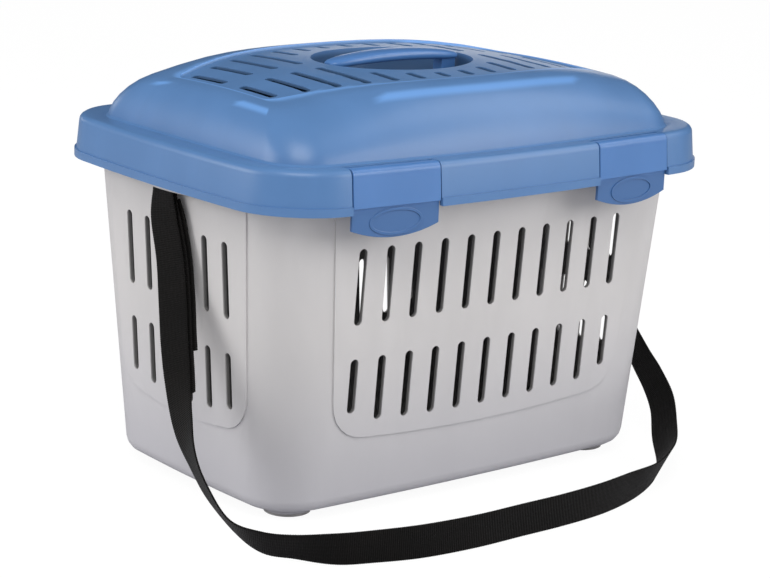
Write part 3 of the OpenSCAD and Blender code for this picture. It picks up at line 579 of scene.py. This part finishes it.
class CARRIER_OT_stage(bpy.types.Operator):
    """Set the camera, the floor and the soft studio light"""

    bl_idname = "carrier.stage"
    bl_label = "Stage"

    def execute(self, context):
        stage = context.scene.carrier_stage
        camera = bpy.data.cameras.new("Camera")
        camera.sensor_width = SENSOR_WIDTH
        camera.lens = FOCAL_PIXELS * SENSOR_WIDTH / PICTURE_WIDTH
        camera.clip_end = 50.0
        eye = bpy.data.objects.new("Camera", camera)
        azimuth, pitch, roll = (math.radians(a) for a in CAMERA_TURNS)
        back = Vector((math.sin(azimuth) * math.cos(pitch), -math.cos(azimuth) * math.cos(pitch),
                       math.sin(pitch)))
        right = Vector((math.cos(azimuth), math.sin(azimuth), 0.0))
        up = back.cross(right)
        turned = right * math.cos(roll) + up * math.sin(roll)
        raised = up * math.cos(roll) - right * math.sin(roll)
        eye.matrix_world = Matrix.Translation(CAMERA_PLACE) @ Matrix(
            (turned, raised, back)).transposed().to_4x4()
        context.scene.collection.objects.link(eye)
        context.scene.camera = eye
        context.scene.view_settings.view_transform = "Standard"
        self.floor(context, stage)
        self.world(context, stage)
        for name, place, size, power, gloss_only in LAMPS:
            lamp = self.lamp(context, name, place, size, getattr(stage, power))
            lamp.visible_diffuse = not gloss_only
        return {"FINISHED"}

    def floor(self, context, stage):
        bm = bmesh.new()
        bmesh.ops.create_grid(bm, x_segments=2, y_segments=2, size=FLOOR_HALF)
        mesh = bpy.data.meshes.new("Floor")
        bm.to_mesh(mesh)
        bm.free()
        floor = bpy.data.objects.new("Floor", mesh)
        floor.location.z = -FLOOR_DROP
        context.scene.collection.objects.link(floor)
        s = Shader("Pale floor")
        glow = s.node("ShaderNodeEmission",
                      sockets={"Color": (1.0, 1.0, 1.0), "Strength": FLOOR_GLOW})
        path = s.node("ShaderNodeLightPath")
        direct = Value(s, path.outputs["Is Camera Ray"])
        s.finish(Base_Color=s.mix(direct, FLOOR_BOUNCE, FLOOR_SEEN), Roughness=0.85)
        seen = direct * stage.floor_white
        both = s.node("ShaderNodeMixShader", sockets={0: seen})
        s.tree.links.new(s.surface.outputs[0], both.inputs[1])
        s.tree.links.new(glow.outputs[0], both.inputs[2])
        s.tree.links.new(both.outputs[0], s.output.inputs[0])
        mesh.materials.append(s.material)

    def world(self, context, stage):
        world = bpy.data.worlds.new("Studio")
        world.use_nodes = True
        tree = world.node_tree
        sky = tree.nodes["Background"]
        sky.inputs["Color"].default_value = (1.0, 1.0, 1.0, 1.0)
        path = tree.nodes.new("ShaderNodeLightPath")
        seen = tree.nodes.new("ShaderNodeMath")
        seen.operation = "MAXIMUM"
        tree.links.new(path.outputs["Is Camera Ray"], seen.inputs[0])
        tree.links.new(path.outputs["Is Transmission Ray"], seen.inputs[1])
        mirrored = tree.nodes.new("ShaderNodeMapRange")
        mirrored.inputs["To Min"].default_value = stage.fill
        mirrored.inputs["To Max"].default_value = stage.shine
        tree.links.new(path.outputs["Is Glossy Ray"], mirrored.inputs["Value"])
        level = tree.nodes.new("ShaderNodeMapRange")
        level.inputs["To Max"].default_value = 1.0
        tree.links.new(mirrored.outputs["Result"], level.inputs["To Min"])
        tree.links.new(seen.outputs[0], level.inputs["Value"])
        tree.links.new(level.outputs["Result"], sky.inputs["Strength"])
        context.scene.world = world

    def lamp(self, context, name, place, size, power):
        light = bpy.data.lights.new(name, "AREA")
        light.shape = "RECTANGLE"
        light.size, light.size_y = size
        light.energy = power
        light.color = LAMP_COLOUR
        lamp = bpy.data.objects.new(name, light)
        lamp.location = place
        lamp.rotation_euler = (Vector(LAMP_AIM) - Vector(place)).to_track_quat(
            "-Z", "Y").to_euler()
        context.scene.collection.objects.link(lamp)
        return lamp


class CARRIER_OT_strap(bpy.types.Operator):
    """Lay the shoulder strap along its route and fold its ends over the bars"""

    bl_idname = "carrier.strap"
    bl_label = "Shoulder strap"

    def execute(self, context):
        sizes = context.scene.carrier_strap
        webbing = woven_webbing("Black webbing", context.scene.carrier_colours.webbing, sizes.rib)
        points, ways = strap_line()
        ways = squared(points, ways)
        spots, sides, total = even(points, ways, sizes.rib / 2)
        strap = webbing_strip("strap_webbing", spots, sides, sizes, webbing)
        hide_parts("shoulder_strap")
        spots[::6] + [spots[-1]]
        for side, name in ((-1, "left"), (1, "right")):
            self.tail(side, name, spots, sides, sizes, webbing)
        return {"FINISHED"}

    def tail(self, side, name, spots, sides, sizes, webbing):
        """The end over the bar and down behind the strap, and a shorter layer behind it."""
        if side > 0:
            spots, sides = spots[::-1], sides[::-1]
        gap = 0.0001
        under_lip = (LIP_FOOT - 2) * MM
        radius = BAR_RADIUS * MM + gap + sizes.thickness / 2
        loop = [Vector((side * (BAR_X * MM + radius * math.cos(a)), 0.0,
                        BAR_Z * MM + radius * math.sin(a)))
                for a in (math.radians(d) for d in range(0, 181, 12))]
        for layer, foot in enumerate((height * MM for height in LAYER_FEET), 1):
            start = under_lip - LAYER_START * MM * layer
            path, faces = ([], []) if layer > 1 else (list(loop), [Vector((0, -1, 0))] * len(loop))
            for n, (spot, width) in enumerate(zip(spots, sides)):
                if spot.z > start or spot.z < foot:
                    if path and spot.z < foot:
                        break
                    continue
                ahead = (spots[n + 1] - spots[n - 1]).normalized()
                inward = side * ahead.cross(width)
                settle = min(1.0, (under_lip - spot.z) / (LAYER_SETTLE * MM))
                path.append(spot + inward * layer * (sizes.thickness + gap)
                            + width * (LAYER_SHIFT * MM * layer * settle))
                faces.append(width)
            line, widths, _ = even(path, faces, sizes.rib / 2)
            piece = webbing_strip(f"strap_end_{name}_{layer}", line, widths, sizes, webbing)
        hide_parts(f"strap_tail_{name}")


# Rough half sizes of the tub in plan, and the height below which an upward face is its floor
TUB_HALF = (0.19, 0.12)
TUB_FLOOR = 0.02


class CARRIER_OT_tub(bpy.types.Operator):
    """Finish the slatted tub and its foot discs"""

    bl_idname = "carrier.tub"
    bl_label = "Tub and feet"

    def execute(self, context):
        colours, finish = settings()
        # Painted shade for the foot: the tub's colour made darker and bluer
        foot = tinted(colours.tub, (0.86, 0.875, 0.95))
        # Painted shade darkens the tub's inside faces
        grey = moulded_plastic("Grey moulded plastic", colours.tub, finish.grain, 0.46, 0.05, 0.35,
                               shaded_foot=foot, inside=0.30)
        dress("tub", grey, "tub", finish.tub_edge, faces_in=self.looks_in)
        pad = moulded_plastic("Grey foot pad", colours.pads, 0.0008, 0.6, 0.0, 0.8)
        for end in ("front_left", "front_right", "back_left", "back_right"):
            dress(f"foot_pad_{end}", pad, "tub", 0.0004)
        return {"FINISHED"}

    @staticmethod
    def looks_in(middle, normal):
        """Whether a face of the tub is on the inside of a wall or on the floor, where painted shade
        goes.
        """
        if normal.z > 0.7:
            return middle.z < TUB_FLOOR
        out = Vector(((middle.x / TUB_HALF[0]) ** 3, (middle.y / TUB_HALF[1]) ** 3, 0.0)).normalized()
        return normal.dot(out) < -0.5


# Height above which the dome's underside lies, half sizes in plan just inside the bowl's edge, and
# the height up to which the bowl gets painted shade
DOME_FOOT = 0.266
BOWL_HALF = (0.066, 0.056)
BOWL_SHADE_TOP = 0.311


class CARRIER_OT_lid(bpy.types.Operator):
    """Finish the domed lid"""

    bl_idname = "carrier.lid"
    bl_label = "Lid"

    def execute(self, context):
        colours, finish = settings()
        # Painted highlight on the top's rim edges, painted shade under the dome and low in the bowl
        blue = moulded_plastic("Blue moulded plastic", colours.lid, finish.grain, 0.36, 0.12, 0.25,
                               inside=0.50, rim_highlight=1.6)
        dress("lid", blue, "lid", finish.lid_edge,
              faces_in=self.looks_in, painted_rim_highlights=True)
        return {"FINISHED"}

    @staticmethod
    def looks_in(middle, normal):
        """Whether a face of the lid is under the dome or low in the grip's bowl, where painted shade
        goes.
        """
        in_bowl = (middle.x / BOWL_HALF[0]) ** 2 + (middle.y / BOWL_HALF[1]) ** 2 < 1
        in_shade = normal.z < -0.2 or (in_bowl and middle.z < BOWL_SHADE_TOP)
        return middle.z > DOME_FOOT and in_shade


# Height below which a latch's tab is darker with painted shade, and by what factor
TAB_TOP = 0.243
TAB_SHADE = 0.74


class CARRIER_OT_latches(bpy.types.Operator):
    """Finish the two latches, the grip and its stops"""

    bl_idname = "carrier.latches"
    bl_label = "Latches"

    def execute(self, context):
        colours, finish = settings()
        # The tab low on each latch gets painted shade
        blue = moulded_plastic("Deep blue moulded plastic", colours.latch, finish.grain, 0.33,
                               0.15, 0.3, shaded_band=(TAB_TOP, TAB_SHADE))
        for end in ("left", "right"):
            dress(f"latch_{end}", blue, f"latch_{end}", 0.0005)
        grip = moulded_plastic("Deep blue grip plastic", colours.latch, finish.grain, 0.3, 0.3, 0.3)
        for node in ("carry_handle", "handle_stop_left", "handle_stop_right"):
            dress(node, grip, "carry_handle", 0.0008, 35.0)
        return {"FINISHED"}


class CARRIER_OT_pins(bpy.types.Operator):
    """Finish the hinge pins and the strap bars"""

    bl_idname = "carrier.pins"
    bl_label = "Pins and bars"

    def execute(self, context):
        colours, _ = settings()
        grey = moulded_plastic("Grey pin plastic", colours.pins, 0.0004, 0.4, 0.1, 0.5)
        for end in ("left", "right"):
            dress(f"hinge_pin_{end}", grey, "tub", 0.0003)
            dress(f"strap_bar_{end}", grey, "tub", 0.0003)
        return {"FINISHED"}


class CARRIER_PT_panel(bpy.types.Panel):
    """The carrier's steps"""

    bl_idname = "CARRIER_PT_panel"
    bl_label = "Carrier"
    bl_space_type = "VIEW_3D"
    bl_region_type = "UI"
    bl_category = "Carrier"

    def draw(self, context):
        for step in STEPS:
            self.layout.operator(step.bl_idname)
        for group in (context.scene.carrier_colours, context.scene.carrier_finish,
                      context.scene.carrier_strap, context.scene.carrier_stage):
            box = self.layout.box()
            for key in group.__annotations__:
                box.prop(group, key)


STEPS = (CARRIER_OT_stage, CARRIER_OT_strap, CARRIER_OT_tub, CARRIER_OT_lid, CARRIER_OT_latches,
         CARRIER_OT_pins)
GROUPS = {"carrier_colours": CarrierColours, "carrier_finish": CarrierFinish,
          "carrier_strap": CarrierStrap, "carrier_stage": CarrierStage}


def register():
    for key, group in GROUPS.items():
        bpy.utils.register_class(group)
        setattr(bpy.types.Scene, key, PointerProperty(type=group))
    for step in STEPS:
        bpy.utils.register_class(step)
    bpy.utils.register_class(CARRIER_PT_panel)


def unregister():
    bpy.utils.unregister_class(CARRIER_PT_panel)
    for step in reversed(STEPS):
        bpy.utils.unregister_class(step)
    for key, group in GROUPS.items():
        delattr(bpy.types.Scene, key)
        bpy.utils.unregister_class(group)


def main():
    register()
    for step in STEPS:
        group, name = step.bl_idname.split(".")
        getattr(getattr(bpy.ops, group), name)()
    bpy.context.view_layer.update()


if __name__ == "__main__":
    main()
